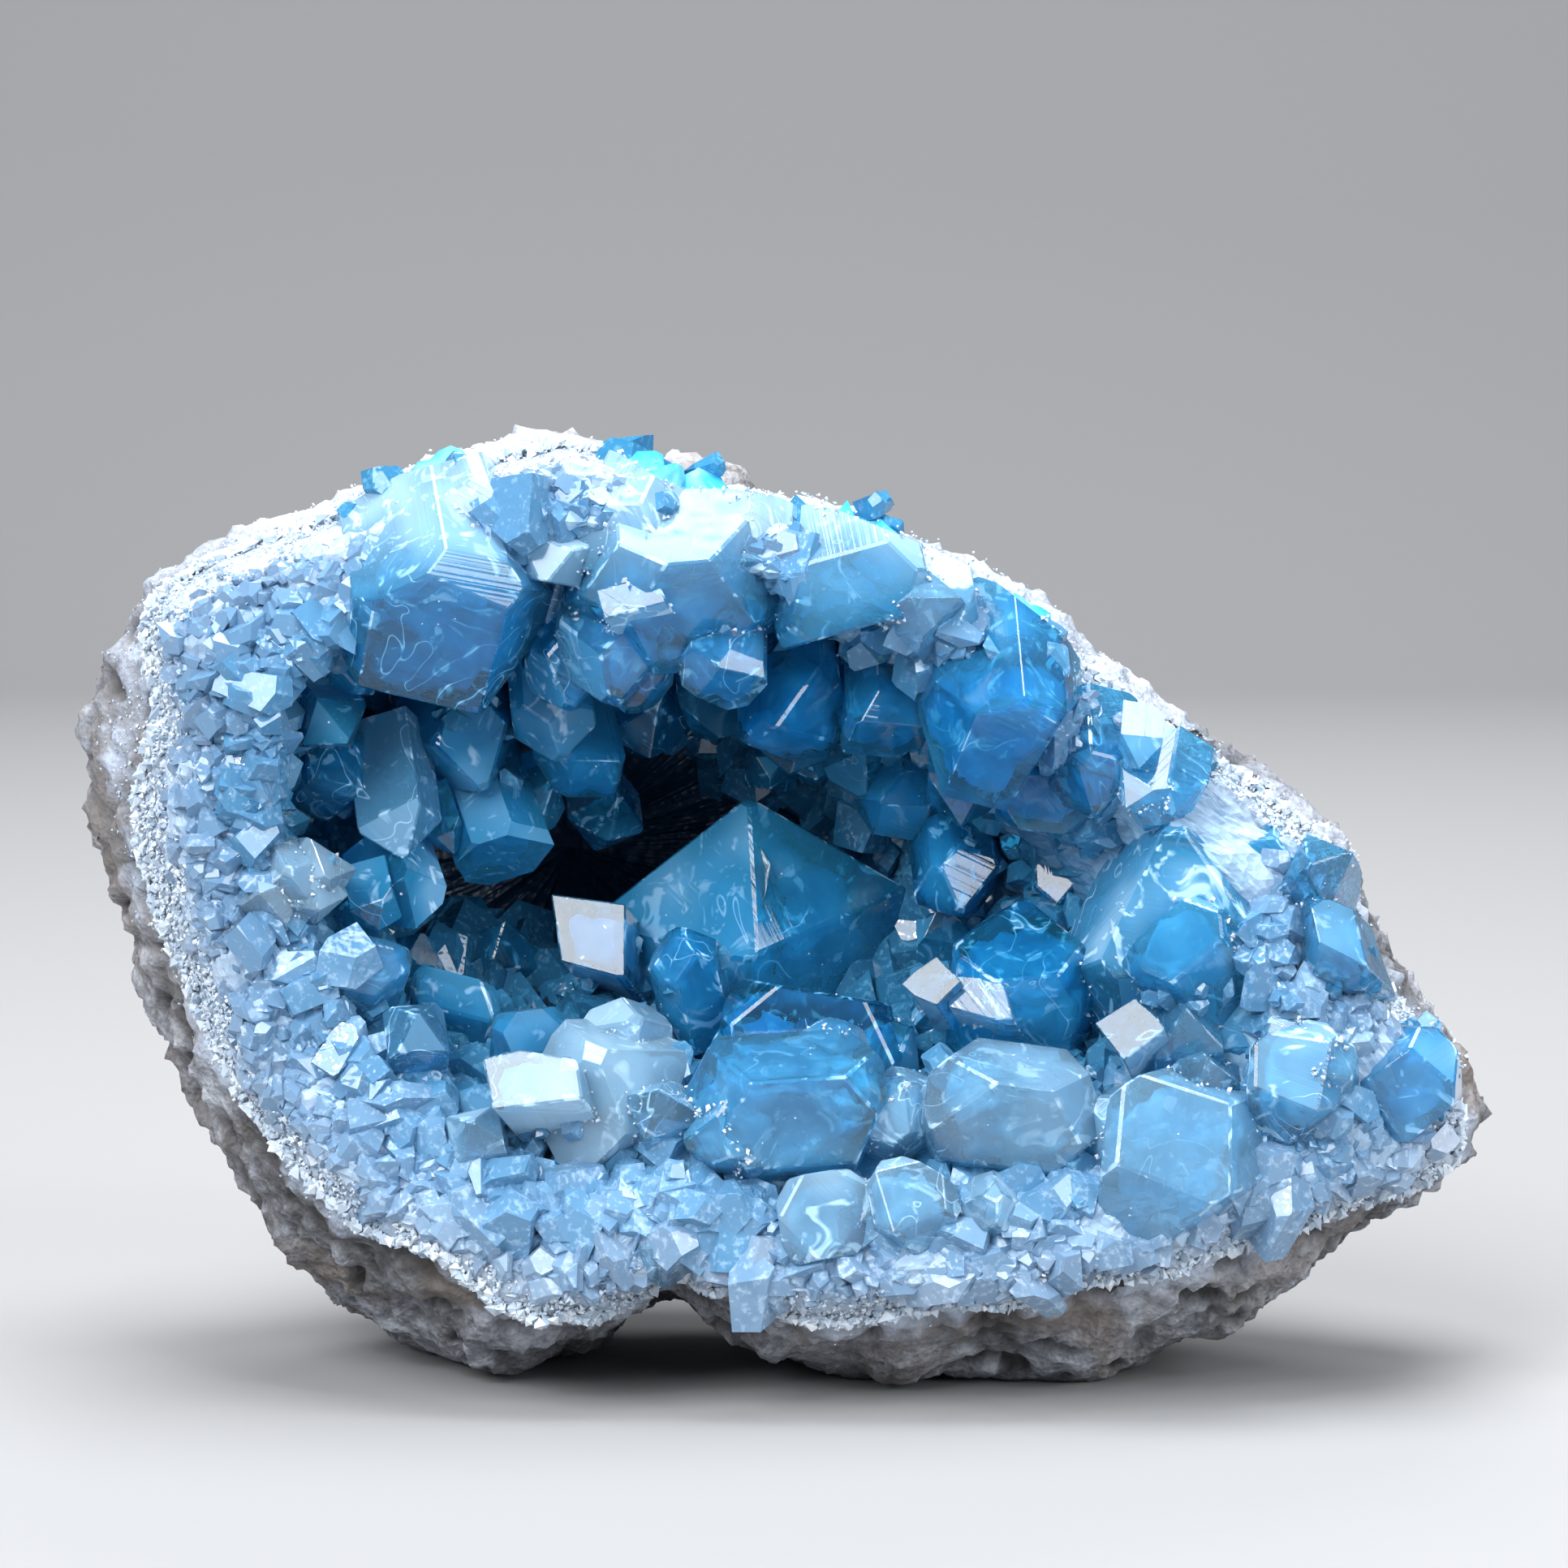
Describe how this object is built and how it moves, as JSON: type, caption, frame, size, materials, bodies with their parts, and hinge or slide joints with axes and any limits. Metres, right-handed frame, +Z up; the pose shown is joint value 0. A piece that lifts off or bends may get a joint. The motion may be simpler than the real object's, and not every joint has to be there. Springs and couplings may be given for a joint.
{
  "type": "celestite geode",
  "caption": "Bowl of grey rock lined with a crust of clear blue crystals, open at the front, resting on a flat spot under each lobe.",
  "frame": {"origin": "middle of the bottom of the bounding box, on the table", "axes": "+X to the right along the length, +Z up, the open side faces -Y"},
  "size_m": [0.1886, 0.092, 0.1257],
  "materials": {
    "grey_rock": "rough, mottled grey and white",
    "blue_crystal": "clear to milky, polished natural faces"
  },
  "bodies": {
    "root": {"rock_matrix": "grey_rock", "crystal_crust": "blue_crystal"}
  },
  "joints": []
}
